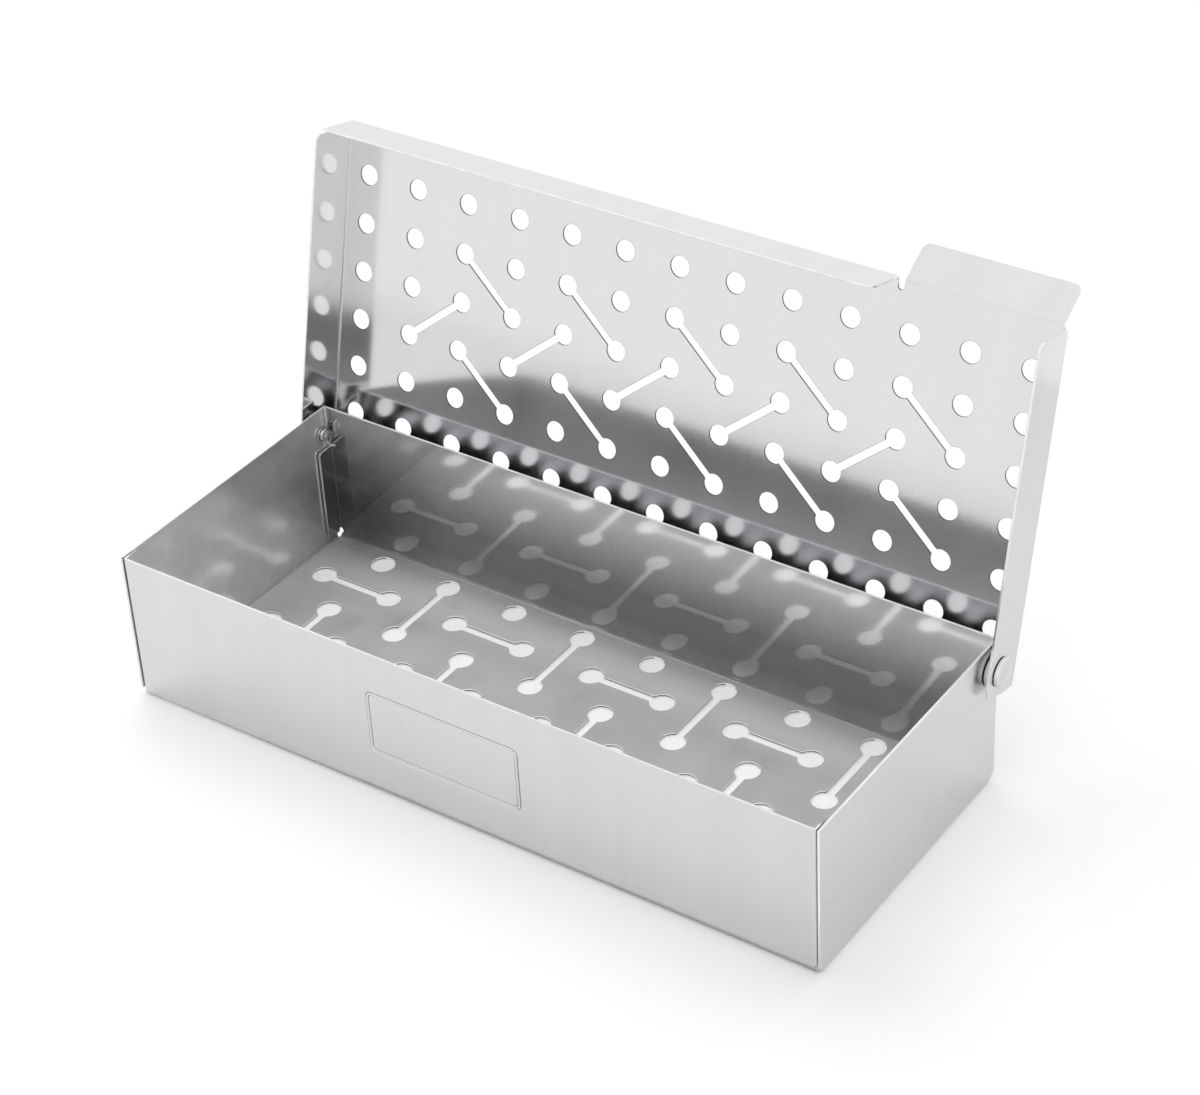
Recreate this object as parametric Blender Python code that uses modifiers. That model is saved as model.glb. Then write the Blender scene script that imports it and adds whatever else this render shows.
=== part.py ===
"""Grill smoker box: a folded steel tray with a perforated floor, and a perforated lid that turns on two rivets.

The tray and the lid are each one sheet. Each starts as a flat blank with its holes, slots and corner reliefs,
and every wall, tab, flange and lip is then folded up along its own bend line.
The origin is at the middle of the floor's underside: X along the box, front at -Y, +Z up.
The lid is shown open, leaning back on its stop.
"""

import math

import bmesh
import bpy
from mathutils import Vector

# Sheet and bends
SHEET = 0.001
BEND_RADIUS = 0.001
BEND_STEPS = 4
FIT_GAP = 0.0003

# Box, outer sizes
BOX_LENGTH = 0.330
BOX_DEPTH = 0.133
BOX_HEIGHT = 0.069

# Tabs at the ends of the front and rear walls, folded inside the side walls
TAB_BEND_RADIUS = 0.0002
TAB_GAP = 0.0006
FRONT_TAB_LENGTH = 0.0075
FRONT_TAB_BOTTOM = 0.0032
FRONT_RELIEF_RADIUS = 0.0007
REAR_TAB_LENGTH = 0.0095
REAR_TAB_BOTTOM = 0.0044
REAR_RELIEF_RADIUS = 0.0016
REAR_TAB_BELOW_PIVOT = 0.0078
REAR_TAB_CHAMFER = 0.001
SIDE_WALL_STEP = 0.0028
RELIEF_SLOT_WIDTH = 0.0011
RELIEF_SLOT_DEPTH = 0.0018
EDGE_SEAM = 0.0005

# Holes in the floor: round ones, and pairs joined by a slot
FLOOR_HOLE_RADIUS = 0.0055
FLOOR_SLOT_WIDTH = 0.004
FLOOR_END_MARGIN = 0.014
FLOOR_SIDE_MARGIN = 0.0089
FLOOR_COLUMNS = 18
FLOOR_ROWS = 7

# Holes in the lid
LID_HOLE_RADIUS = 0.0045
LID_SLOT_WIDTH = 0.0032
LID_END_MARGIN = 0.011
LID_SIDE_MARGIN = 0.0209
LID_COLUMNS = 13
LID_ROWS = 6

# Lid, measured between the inner faces of its flanges and from the box
LID_SIDE_GAP = 0.0028
LID_FRONT_GAP = 0.009
LID_REAR_GAP = 0.0075
LID_RIM_GAP = 0.002
SIDE_FLANGE_HEIGHT = 0.0241
FRONT_FLANGE_HEIGHT = 0.0215
FLANGE_SETBACK = 0.0007
FLANGE_FRONT_RADIUS = 0.0034
FLANGE_REAR_RADIUS = 0.006
FRONT_FLANGE_CORNER = 0.003
LIFT_TAB_WIDTH = 0.0669
LIFT_TAB_LENGTH = 0.0168
LIFT_TAB_CORNER = 0.0035
LIFT_TAB_ANGLE = math.radians(45)
LIFT_TAB_INSET = 0.0003
LIFT_SLOT_WIDTH = 0.0027
LIFT_SLOT_DEPTH = 0.0022

# Hinge
OPEN_ANGLE = math.radians(103.65)
PIVOT_FROM_REAR = 0.0048
PIVOT_BELOW_RIM = 0.0117
SHANK_RADIUS = 0.002
SHANK_CLEARANCE = 0.0001
HEAD_RADIUS = 0.0063
HEAD_THICKNESS = 0.0016
HEAD_ROUNDING = 0.0006
SPACER_RADIUS = 0.0074
SPACER_CHAMFER = 0.0004
WASHER_RADIUS = 0.0035
WASHER_THICKNESS = 0.0005
WASHER_CHAMFER = 0.0001
PEEN_RADIUS = 0.0027
PEEN_THICKNESS = 0.0011
PEEN_ROUNDING = 0.0005
DIMPLE_RADIUS = 0.0011
DIMPLE_DEPTH = 0.0005

# Facets
HOLE_SIDES = 16
PIVOT_SIDES = 32
CORNER_SIDES = 4
WELD_DISTANCE = 0.000001

# Worked out from the sizes above
BEND_OUTER = BEND_RADIUS + SHEET
TAB_BEND_OUTER = TAB_BEND_RADIUS + SHEET
PIVOT_Y = BOX_DEPTH / 2 - PIVOT_FROM_REAR
PIVOT_Z = BOX_HEIGHT - PIVOT_BELOW_RIM
FLANGE_INNER_X = BOX_LENGTH / 2 + LID_SIDE_GAP
FLANGE_OUTER_X = FLANGE_INNER_X + SHEET


def bend_length(angle, radius=BEND_RADIUS):
    """How much of the flat blank a bend takes up, along its middle surface."""
    return (radius + SHEET / 2) * angle


def arc(centre, radius, start, end, sides):
    """Points along an arc, both ends included. Angles are in radians."""
    step = (end - start) / sides
    return [
        (centre[0] + radius * math.cos(start + step * i), centre[1] + radius * math.sin(start + step * i))
        for i in range(sides + 1)
    ]


def round_hole(centre, radius, sides):
    return arc(centre, radius, 0, 2 * math.pi, sides)[:-1]


def slotted_pair(first, second, radius, width):
    """The outline of two round holes joined by a straight slot."""
    heading = math.atan2(second[1] - first[1], second[0] - first[0])
    mouth = math.asin(width / 2 / radius)
    sides = HOLE_SIDES - 2
    far = arc(second, radius, heading - math.pi + mouth, heading + math.pi - mouth, sides)
    near = arc(first, radius, heading + mouth, heading + 2 * math.pi - mouth, sides)
    return far + near


def mirrored(points):
    """A quarter or half outline carried across X = 0, in the order that closes the outline."""
    return points + [(-x, y) for x, y in reversed(points)]


def cut_blank(name, outline, holes):
    """A flat sheet with holes in it, as a closed mesh lying in XY with its middle surface at Z = 0."""
    curve = bpy.data.curves.new(name + "_blank", "CURVE")
    curve.dimensions = "2D"
    curve.fill_mode = "BOTH"
    curve.extrude = SHEET / 2
    for points in [outline] + holes:
        spline = curve.splines.new("POLY")
        spline.points.add(len(points) - 1)
        for point, (x, y) in zip(spline.points, points):
            point.co = (x, y, 0, 1)
        spline.use_cyclic_u = True
    source = bpy.data.objects.new(name + "_blank", curve)
    bpy.context.scene.collection.objects.link(source)
    bpy.context.view_layer.update()
    evaluated = source.evaluated_get(bpy.context.evaluated_depsgraph_get())
    mesh = bpy.data.meshes.new_from_object(evaluated)
    bpy.data.objects.remove(source)
    bm = bmesh.new()
    bm.from_mesh(mesh)
    bpy.data.meshes.remove(mesh)
    bmesh.ops.remove_doubles(bm, verts=bm.verts, dist=WELD_DISTANCE)
    bmesh.ops.recalc_face_normals(bm, faces=bm.faces)
    bmesh.ops.dissolve_limit(bm, angle_limit=math.radians(1), verts=bm.verts, edges=bm.edges)
    return bm


def crease(bm, edge, outward, angle, radius=BEND_RADIUS):
    """Scores the blank with the lines that one bend needs, from where it starts to where it ends."""
    for step in range(BEND_STEPS + 1):
        place = edge + outward * (bend_length(angle, radius) * step / BEND_STEPS)
        geometry = list(bm.verts) + list(bm.edges) + list(bm.faces)
        bmesh.ops.bisect_plane(bm, geom=geometry, dist=WELD_DISTANCE, plane_co=place, plane_no=outward)


def fold(bm, edge, outward, inward, angle, belongs, radius=BEND_RADIUS):
    """Bends up what lies beyond a bend line.

    edge is a point on the line, outward points along the sheet away from the part that stays,
    inward points to the side that the bend's centre is on, and belongs picks the flap's points.
    """
    middle = radius + SHEET / 2
    flap = [vert for vert in bm.verts if belongs(vert.co) and (vert.co - edge).dot(outward) > 0]
    for vert in flap:
        along = (vert.co - edge).dot(outward)
        depth = (vert.co - edge).dot(inward)
        turn = min(along / middle, angle)
        straight = along - turn * middle
        new_along = (middle - depth) * math.sin(turn) + straight * math.cos(turn)
        new_depth = middle - (middle - depth) * math.cos(turn) + straight * math.sin(turn)
        vert.co += outward * (new_along - along) + inward * (new_depth - depth)


def finish_object(name, bm, collection, material):
    """Makes the object from its mesh, with round faces shaded smooth and bends left crisp."""
    bmesh.ops.dissolve_limit(bm, angle_limit=math.radians(1), verts=bm.verts, edges=bm.edges)
    bmesh.ops.recalc_face_normals(bm, faces=bm.faces)
    mesh = bpy.data.meshes.new(name)
    bm.to_mesh(mesh)
    bm.free()
    mesh.shade_smooth()
    mesh.set_sharp_from_angle(angle=math.radians(35))
    obj = bpy.data.objects.new(name, mesh)
    obj.data.materials.append(material)
    collection.objects.link(obj)
    return obj


def steel(name, colour, roughness):
    material = bpy.data.materials.new(name)
    material.use_nodes = True
    shader = material.node_tree.nodes["Principled BSDF"]
    shader.inputs["Base Color"].default_value = (*colour, 1)
    shader.inputs["Roughness"].default_value = roughness
    shader.inputs["Metallic"].default_value = 1
    return material


# Tray


def floor_holes():
    """A basket-weave pattern: slotted pairs along X and along Y in turn, with round holes round the border."""
    pitch_x = (BOX_LENGTH - 2 * FLOOR_END_MARGIN) / (FLOOR_COLUMNS - 1)
    pitch_y = (BOX_DEPTH - 2 * FLOOR_SIDE_MARGIN) / (FLOOR_ROWS - 1)

    def place(column, row):
        x = FLOOR_END_MARGIN - BOX_LENGTH / 2 + column * pitch_x
        y = BOX_DEPTH / 2 - FLOOR_SIDE_MARGIN - row * pitch_y
        return x, y

    holes = []

    def single(column, row):
        holes.append(round_hole(place(column, row), FLOOR_HOLE_RADIUS, HOLE_SIDES))

    def pair(column, row, to_column, to_row):
        start = place(column, row)
        end = place(to_column, to_row)
        holes.append(slotted_pair(start, end, FLOOR_HOLE_RADIUS, FLOOR_SLOT_WIDTH))

    last_row = FLOOR_ROWS - 1
    for column in range(1, FLOOR_COLUMNS, 4):
        single(column, 0)
        single(column, last_row)
        for row in range(2, last_row, 4):
            pair(column, row, column, row + 2)
    for column in range(3, FLOOR_COLUMNS, 4):
        for row in range(0, last_row, 4):
            pair(column, row, column, row + 2)
    for row in range(1, last_row, 2):
        first = 0 if row % 4 == 1 else 2
        if first:
            single(0, row)
        for column in range(first, FLOOR_COLUMNS, 4):
            if column + 2 < FLOOR_COLUMNS:
                pair(column, row, column + 2, row)
            else:
                single(column, row)
    return holes


def wall_flat(height):
    """How far beyond its bend line a point of a wall lies in the flat blank, from its height on the box."""
    return bend_length(math.pi / 2) + height - BEND_OUTER


def tab_flat(length):
    return bend_length(math.pi / 2, TAB_BEND_RADIUS) + length - TAB_BEND_OUTER


def tab_bend_line():
    """Where the tabs' bends start, so that a tab's outer face lies inside the side wall."""
    return BOX_LENGTH / 2 - SHEET - TAB_GAP - TAB_BEND_OUTER


def rear_tab_top():
    """How far back the top of the rear tabs lies in the flat blank."""
    return BOX_DEPTH / 2 - BEND_OUTER + wall_flat(PIVOT_Z - REAR_TAB_BELOW_PIVOT)


def tray_outline():
    """The blank of the tray, from the rear wall's right half round to the front wall's and back on the left."""
    floor_x = BOX_LENGTH / 2 - BEND_OUTER
    floor_y = BOX_DEPTH / 2 - BEND_OUTER
    tab_line = tab_bend_line()
    side_step = floor_x + wall_flat(SIDE_WALL_STEP)
    side_top = floor_x + wall_flat(BOX_HEIGHT)
    end_top = floor_y + wall_flat(BOX_HEIGHT)

    def corner(sign, above_tab, tab_top, tab_length, tab_bottom, relief_radius):
        """From the top of a wall down to the floor's corner and out along the side wall."""
        tab_end = tab_line + tab_flat(tab_length)
        relief_y = floor_y + wall_flat(tab_bottom)
        relief = arc((floor_x, relief_y), relief_radius, 0, 3 * math.pi / 2, 2 * CORNER_SIDES)
        points = above_tab + tab_top(tab_end) + [(tab_end, relief_y)] + relief
        points += [
            (floor_x, floor_y),
            (side_step, floor_y),
            (side_step, BOX_DEPTH / 2),
            (side_top, BOX_DEPTH / 2),
        ]
        return [(x, sign * y) for x, y in points]

    def full_height_tab(tab_end):
        return [(tab_end, end_top)]

    def short_tab(tab_end):
        return [(tab_end - REAR_TAB_CHAMFER, slot_low), (tab_end, slot_low - REAR_TAB_CHAMFER)]

    seam_x = BOX_LENGTH / 2 - SHEET - EDGE_SEAM
    slot_end = tab_line - RELIEF_SLOT_DEPTH
    slot_low = rear_tab_top()
    above_rear_tab = [
        (seam_x, end_top),
        (seam_x, slot_low + RELIEF_SLOT_WIDTH),
        (slot_end, slot_low + RELIEF_SLOT_WIDTH),
        (slot_end, slot_low),
    ]
    rear = corner(1, above_rear_tab, short_tab, REAR_TAB_LENGTH, REAR_TAB_BOTTOM, REAR_RELIEF_RADIUS)
    front = corner(-1, [], full_height_tab, FRONT_TAB_LENGTH, FRONT_TAB_BOTTOM, FRONT_RELIEF_RADIUS)
    right = rear + front[::-1]
    return mirrored(right)


def tray_pivot_holes():
    """Where the rivets pass through the side walls, in the flat blank."""
    flat_x = BOX_LENGTH / 2 - BEND_OUTER + wall_flat(PIVOT_Z)
    radius = SHANK_RADIUS + SHANK_CLEARANCE
    return [round_hole((side * flat_x, PIVOT_Y), radius, PIVOT_SIDES) for side in (-1, 1)]


def make_tray(collection, material):
    floor_x = BOX_LENGTH / 2 - BEND_OUTER
    floor_y = BOX_DEPTH / 2 - BEND_OUTER
    tab_line = tab_bend_line()
    side_wall_end = BOX_DEPTH / 2 + WELD_DISTANCE
    between_tab_and_wall = BOX_LENGTH / 2 - SHEET - TAB_GAP / 2
    square = math.pi / 2
    up = Vector((0, 0, 1))
    bm = cut_blank("box_tray", tray_outline(), floor_holes() + tray_pivot_holes())
    for side in (-1, 1):
        along_x = Vector((side, 0, 0))
        along_y = Vector((0, side, 0))
        crease(bm, along_x * tab_line, along_x, square, TAB_BEND_RADIUS)
        crease(bm, along_x * floor_x, along_x, square)
        crease(bm, along_y * floor_y, along_y, square)
    for side in (-1, 1):
        along_x = Vector((side, 0, 0))
        fold(bm, along_x * floor_x, along_x, up, square, lambda co: abs(co.y) < side_wall_end)

    def in_tab(co):
        return abs(co.y) > side_wall_end and co.y < rear_tab_top() + WELD_DISTANCE

    for side in (-1, 1):
        along_x = Vector((side, 0, 0))
        fold(bm, along_x * tab_line, along_x, up, square, in_tab, TAB_BEND_RADIUS)
    for side in (-1, 1):
        along_y = Vector((0, side, 0))
        fold(bm, along_y * floor_y, along_y, up, square, lambda co: abs(co.x) < between_tab_and_wall)
    bmesh.ops.translate(bm, verts=bm.verts, vec=up * (SHEET / 2))
    return finish_object("box_tray", bm, collection, material)


# Lid


def lid_front():
    """The front flange's inner face, ahead of the hinge axis with the lid shut."""
    return PIVOT_Y + BOX_DEPTH / 2 + LID_FRONT_GAP


def lid_rear():
    """The rear lip's inner face, behind the hinge axis with the lid shut."""
    return PIVOT_FROM_REAR + LID_REAR_GAP


def panel_height():
    """The lid panel's inner face above the hinge axis, with the lid shut."""
    return PIVOT_BELOW_RIM + LID_RIM_GAP


def rear_lip_height():
    """The lip's free edge meets the rear wall's outer face, less the fit gap, at the open angle."""
    lip_outer = lid_rear() + SHEET
    reach = PIVOT_FROM_REAR + FIT_GAP - lip_outer * math.cos(OPEN_ANGLE)
    edge_above_axis = reach / math.sin(OPEN_ANGLE)
    return panel_height() + SHEET - edge_above_axis


def lid_holes():
    """A grid of round holes, with zigzags of slotted pairs across its middle rows."""
    pitch_x = (2 * FLANGE_INNER_X - 2 * LID_END_MARGIN) / (LID_COLUMNS - 1)
    pitch_y = (lid_front() + lid_rear() - 2 * LID_SIDE_MARGIN) / (LID_ROWS - 1)

    def place(column, row):
        x = LID_END_MARGIN - FLANGE_INNER_X + column * pitch_x
        y = LID_SIDE_MARGIN - lid_front() + row * pitch_y
        return x, y

    pairs = []
    for column in range(1, LID_COLUMNS - 2):
        if column % 2 == 0:
            pairs.append(((column, 1), (column + 1, 2)))
            pairs.append(((column, 3), (column + 1, 4)))
        else:
            pairs.append(((column, 3), (column + 1, 2)))
    joined = {cell for pair in pairs for cell in pair}
    holes = [slotted_pair(place(*a), place(*b), LID_HOLE_RADIUS, LID_SLOT_WIDTH) for a, b in pairs]
    for column in range(LID_COLUMNS):
        for row in range(LID_ROWS):
            if (column, row) not in joined:
                holes.append(round_hole(place(column, row), LID_HOLE_RADIUS, HOLE_SIDES))
    return holes


def flange_flat(height, angle=math.pi / 2):
    return bend_length(angle) + height - BEND_OUTER


def side_flange_points(side):
    """One side flange of the lid's blank, from its rear end to its front end."""
    line = FLANGE_OUTER_X - BEND_OUTER
    edge = line + flange_flat(SIDE_FLANGE_HEIGHT)
    rear = lid_rear() - BEND_RADIUS - FLANGE_SETBACK
    front = BEND_RADIUS + FLANGE_SETBACK - lid_front()
    rear_centre = (edge - FLANGE_REAR_RADIUS, rear - FLANGE_REAR_RADIUS)
    front_centre = (edge - FLANGE_FRONT_RADIUS, front + FLANGE_FRONT_RADIUS)
    points = [(line, rear)]
    points += arc(rear_centre, FLANGE_REAR_RADIUS, math.pi / 2, 0, CORNER_SIDES)
    points += arc(front_centre, FLANGE_FRONT_RADIUS, 0, -math.pi / 2, CORNER_SIDES)
    points += [(line, front)]
    return [(side * x, y) for x, y in points]


def front_edge_points():
    """The blank's front edge, from the right: the lift tab, its relief slot and the front flange."""
    line_x = FLANGE_OUTER_X - BEND_OUTER
    line_y = BEND_RADIUS - lid_front()
    tab_right = line_x - LIFT_TAB_INSET
    tab_left = tab_right - LIFT_TAB_WIDTH
    tab_end = line_y - bend_length(LIFT_TAB_ANGLE) - LIFT_TAB_LENGTH
    flange_right = tab_left - LIFT_SLOT_WIDTH
    flange_end = line_y - flange_flat(FRONT_FLANGE_HEIGHT)
    slot_radius = LIFT_SLOT_WIDTH / 2
    slot_centre = (tab_left - slot_radius, line_y + LIFT_SLOT_DEPTH)
    quarter = math.pi / 2
    right_corner = (tab_right - LIFT_TAB_CORNER, tab_end + LIFT_TAB_CORNER)
    left_corner = (tab_left + LIFT_TAB_CORNER, tab_end + LIFT_TAB_CORNER)
    points = [(line_x, line_y), (tab_right, line_y)]
    points += arc(right_corner, LIFT_TAB_CORNER, 0, -quarter, CORNER_SIDES)
    points += arc(left_corner, LIFT_TAB_CORNER, -quarter, -2 * quarter, CORNER_SIDES)
    points += arc(slot_centre, slot_radius, 0, 2 * quarter, 2 * CORNER_SIDES)
    points += [
        (flange_right, flange_end + FRONT_FLANGE_CORNER),
        (flange_right - FRONT_FLANGE_CORNER, flange_end),
        (-line_x, flange_end),
        (-line_x, line_y),
    ]
    return points


def lid_outline():
    """The blank of the lid, lying as it does when shut, with the hinge axis at Y = 0."""
    line_x = FLANGE_OUTER_X - BEND_OUTER
    lip_line = lid_rear() - BEND_RADIUS
    lip_end = lip_line + flange_flat(rear_lip_height())
    outline = side_flange_points(1)
    outline += front_edge_points()
    outline += side_flange_points(-1)[::-1]
    outline += [(-line_x, lip_end), (line_x, lip_end)]
    return outline


def lid_pivot_holes():
    """Where the rivets pass through the side flanges, in the flat blank."""
    drop = panel_height() + SHEET
    flat_x = FLANGE_OUTER_X - BEND_OUTER + flange_flat(drop)
    radius = SHANK_RADIUS + SHANK_CLEARANCE
    return [round_hole((side * flat_x, 0), radius, PIVOT_SIDES) for side in (-1, 1)]


def make_lid(collection, material):
    """The lid folded from its blank, hung on the hinge axis and turned open."""
    line_x = FLANGE_OUTER_X - BEND_OUTER
    line_y = BEND_RADIUS - lid_front()
    lip_line = lid_rear() - BEND_RADIUS
    tab_left = line_x - LIFT_TAB_INSET - LIFT_TAB_WIDTH
    slot_middle = tab_left - LIFT_SLOT_WIDTH / 2
    square = math.pi / 2
    down = Vector((0, 0, -1))
    forward = Vector((0, -1, 0))
    backward = Vector((0, 1, 0))
    bm = cut_blank("lid", lid_outline(), lid_holes() + lid_pivot_holes())
    for side in (-1, 1):
        crease(bm, Vector((side * line_x, 0, 0)), Vector((side, 0, 0)), square)
    crease(bm, forward * -line_y, forward, square)
    crease(bm, forward * -line_y, forward, LIFT_TAB_ANGLE)
    crease(bm, backward * lip_line, backward, square)

    def in_panel_width(co):
        return abs(co.x) <= line_x + WELD_DISTANCE

    fold(bm, forward * -line_y, forward, down, square, lambda co: in_panel_width(co) and co.x < slot_middle)
    fold(bm, forward * -line_y, forward, -down, LIFT_TAB_ANGLE, lambda co: in_panel_width(co) and co.x > slot_middle)
    fold(bm, backward * lip_line, backward, down, square, in_panel_width)
    for side in (-1, 1):
        outward = Vector((side, 0, 0))
        fold(bm, outward * line_x, outward, down, square, lambda co: lip_line > co.y > line_y)
    bmesh.ops.translate(bm, verts=bm.verts, vec=Vector((0, 0, panel_height() + SHEET / 2)))
    lid = finish_object("lid", bm, collection, material)
    lid.location = (0, PIVOT_Y, PIVOT_Z)
    lid.rotation_euler = (-OPEN_ANGLE, 0, 0)
    return lid


# Hinge hardware


def turned(name, profile, collection, material, side):
    """A piece turned about the hinge axis, from (radius, distance from the box's middle) points."""
    mesh = bpy.data.meshes.new(name)
    bm = bmesh.new()
    verts = [bm.verts.new((radius, 0, height)) for radius, height in profile]
    for start, end in zip(verts, verts[1:]):
        bm.edges.new((start, end))
    if profile[0][0] > 0:
        bm.edges.new((verts[-1], verts[0]))
    bm.to_mesh(mesh)
    bm.free()
    obj = bpy.data.objects.new(name, mesh)
    obj.data.materials.append(material)
    collection.objects.link(obj)
    screw = obj.modifiers.new("turn", "SCREW")
    screw.axis = "Z"
    screw.steps = PIVOT_SIDES
    screw.render_steps = PIVOT_SIDES
    screw.use_merge_vertices = True
    screw.merge_threshold = WELD_DISTANCE
    screw.use_smooth_shade = True
    obj.location = (0, PIVOT_Y, PIVOT_Z)
    obj.rotation_euler = (0, side * math.pi / 2, 0)
    return obj


def make_rivet(collection, material, name, side):
    """Head outside the flange, shank through flange, spacer, wall and washer, and a peened end inside."""
    head_under = FLANGE_OUTER_X + FIT_GAP
    head_top = head_under + HEAD_THICKNESS
    wall_inner = BOX_LENGTH / 2 - SHEET
    peen_over = wall_inner - WASHER_THICKNESS - 2 * FIT_GAP
    peen_end = peen_over - PEEN_THICKNESS
    profile = [(0, head_top)]
    profile += [(HEAD_RADIUS - HEAD_ROUNDING, head_top)]
    profile += [(HEAD_RADIUS, head_top - HEAD_ROUNDING), (HEAD_RADIUS, head_under)]
    profile += [(SHANK_RADIUS, head_under), (SHANK_RADIUS, peen_over), (PEEN_RADIUS, peen_over)]
    profile += [(PEEN_RADIUS, peen_end + PEEN_ROUNDING), (PEEN_RADIUS - PEEN_ROUNDING, peen_end)]
    profile += [(DIMPLE_RADIUS, peen_end), (0, peen_end + DIMPLE_DEPTH)]
    return turned(name, profile, collection, material, side)


def ring_profile(inner, outer, low, high, chamfer):
    """A flat ring with its outer corners taken off, from its top down the outer side."""
    return [
        (inner, high),
        (outer - chamfer, high),
        (outer, high - chamfer),
        (outer, low + chamfer),
        (outer - chamfer, low),
        (inner, low),
    ]


def make_spacer(collection, material, name, side):
    """Holds the flange off the side wall."""
    low = BOX_LENGTH / 2 + FIT_GAP
    high = FLANGE_INNER_X - FIT_GAP
    bore = SHANK_RADIUS + SHANK_CLEARANCE
    return turned(name, ring_profile(bore, SPACER_RADIUS, low, high, SPACER_CHAMFER), collection, material, side)


def make_washer(collection, material, name, side):
    """Lies inside the side wall, under the rivet's peened end."""
    high = BOX_LENGTH / 2 - SHEET - FIT_GAP
    low = high - WASHER_THICKNESS
    bore = SHANK_RADIUS + SHANK_CLEARANCE
    return turned(name, ring_profile(bore, WASHER_RADIUS, low, high, WASHER_CHAMFER), collection, material, side)


def main():
    for obj in list(bpy.data.objects):
        bpy.data.objects.remove(obj)
    collection = bpy.data.collections.new("smoker_box")
    bpy.context.scene.collection.children.link(collection)
    make_tray(collection, steel("tray_steel", (0.62, 0.62, 0.63), 0.32))
    make_lid(collection, steel("lid_steel", (0.60, 0.60, 0.61), 0.30))
    rivet_steel = steel("rivet_steel", (0.68, 0.68, 0.69), 0.25)
    spacer_steel = steel("spacer_steel", (0.50, 0.50, 0.51), 0.35)
    for name, side in (("left", -1), ("right", 1)):
        make_rivet(collection, rivet_steel, "hinge_rivet_" + name, side)
        make_spacer(collection, spacer_steel, "hinge_spacer_" + name, side)
        make_washer(collection, spacer_steel, "rivet_washer_" + name, side)


main()
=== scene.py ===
"""Looks of the grill smoker box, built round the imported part.

The tray and the lid are folded here again from their blanks with fine holes, rounded cut edges, smooth bends
and the embossed frame on the front wall. The rivets, spacers and washers are turned again with fine profiles.
"""

import math
from typing import NamedTuple

import bmesh
import bpy
from mathutils import Matrix, Vector


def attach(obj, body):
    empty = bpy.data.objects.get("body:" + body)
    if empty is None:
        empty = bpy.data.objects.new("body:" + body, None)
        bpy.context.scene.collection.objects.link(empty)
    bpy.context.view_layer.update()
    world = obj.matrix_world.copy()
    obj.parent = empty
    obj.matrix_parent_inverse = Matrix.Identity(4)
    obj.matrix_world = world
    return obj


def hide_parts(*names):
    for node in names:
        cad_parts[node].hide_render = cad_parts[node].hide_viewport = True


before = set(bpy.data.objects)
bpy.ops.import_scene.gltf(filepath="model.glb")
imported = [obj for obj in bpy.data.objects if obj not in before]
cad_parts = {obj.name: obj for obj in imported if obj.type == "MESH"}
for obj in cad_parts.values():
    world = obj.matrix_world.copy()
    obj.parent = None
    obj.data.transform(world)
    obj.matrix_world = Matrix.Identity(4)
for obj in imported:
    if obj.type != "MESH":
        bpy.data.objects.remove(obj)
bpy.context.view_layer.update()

# Sheet and bends
SHEET = 0.001
EDGE_ROUND = 0.00012
BEND_RADIUS = 0.001
BEND_STEPS = 10
FIT_GAP = 0.0003
# How far from the bends a hole has to be to get the painted shade on the torn half of its edge
PUNCH_MARGIN = 0.002

# Tray
BOX_LENGTH = 0.330
BOX_DEPTH = 0.133
BOX_HEIGHT = 0.069
TAB_BEND_RADIUS = 0.0002
TAB_GAP = 0.0006
FRONT_TAB_LENGTH = 0.0075
FRONT_TAB_BOTTOM = 0.0032
FRONT_RELIEF_RADIUS = 0.0007
REAR_TAB_LENGTH = 0.0095
REAR_TAB_BOTTOM = 0.0044
REAR_RELIEF_RADIUS = 0.0016
REAR_TAB_BELOW_PIVOT = 0.0078
REAR_TAB_CHAMFER = 0.001
SIDE_WALL_STEP = 0.0028
RELIEF_SLOT_WIDTH = 0.0011
RELIEF_SLOT_DEPTH = 0.0018
EDGE_SEAM = 0.0005
FLOOR_HOLE_RADIUS = 0.0055
FLOOR_SLOT_WIDTH = 0.004
FLOOR_END_MARGIN = 0.014
FLOOR_SIDE_MARGIN = 0.0089
FLOOR_COLUMNS = 18
FLOOR_ROWS = 7

# Embossed frame on the front wall
FRAME_X = -0.0047
FRAME_Z = 0.0352
FRAME_WIDTH = 0.0735
FRAME_HEIGHT = 0.0306
FRAME_CORNER = 0.0034
FRAME_GROOVE = -0.00028
FRAME_PROFILE = (
    (0.00012, -0.00003),
    (0.0002, FRAME_GROOVE),
    (0.0004, FRAME_GROOVE),
    (0.00052, 0.00012),
    (0.00062, 0.0002),
    (0.00142, 0.0002),
    (0.00152, 0.00012),
    (0.00164, FRAME_GROOVE),
    (0.00184, FRAME_GROOVE),
    (0.00192, -0.00003),
    (0.00204, 0),
)
FRAME_CORNER_SIDES = 8

# Lid
LID_HOLE_RADIUS = 0.0045
LID_SLOT_WIDTH = 0.0032
LID_END_MARGIN = 0.011
LID_SIDE_MARGIN = 0.0209
LID_COLUMNS = 13
LID_ROWS = 6
LID_SIDE_GAP = 0.0028
LID_FRONT_GAP = 0.009
LID_REAR_GAP = 0.0075
LID_RIM_GAP = 0.002
SIDE_FLANGE_HEIGHT = 0.0241
FRONT_FLANGE_HEIGHT = 0.0215
FLANGE_SETBACK = 0.0007
FLANGE_FRONT_RADIUS = 0.0034
FLANGE_REAR_RADIUS = 0.006
FRONT_FLANGE_CORNER = 0.003
LIFT_TAB_WIDTH = 0.0669
LIFT_TAB_LENGTH = 0.0168
LIFT_TAB_CORNER = 0.0035
LIFT_TAB_ANGLE = math.radians(45)
LIFT_TAB_INSET = 0.0003
LIFT_SLOT_WIDTH = 0.0027
LIFT_SLOT_DEPTH = 0.0022

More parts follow.
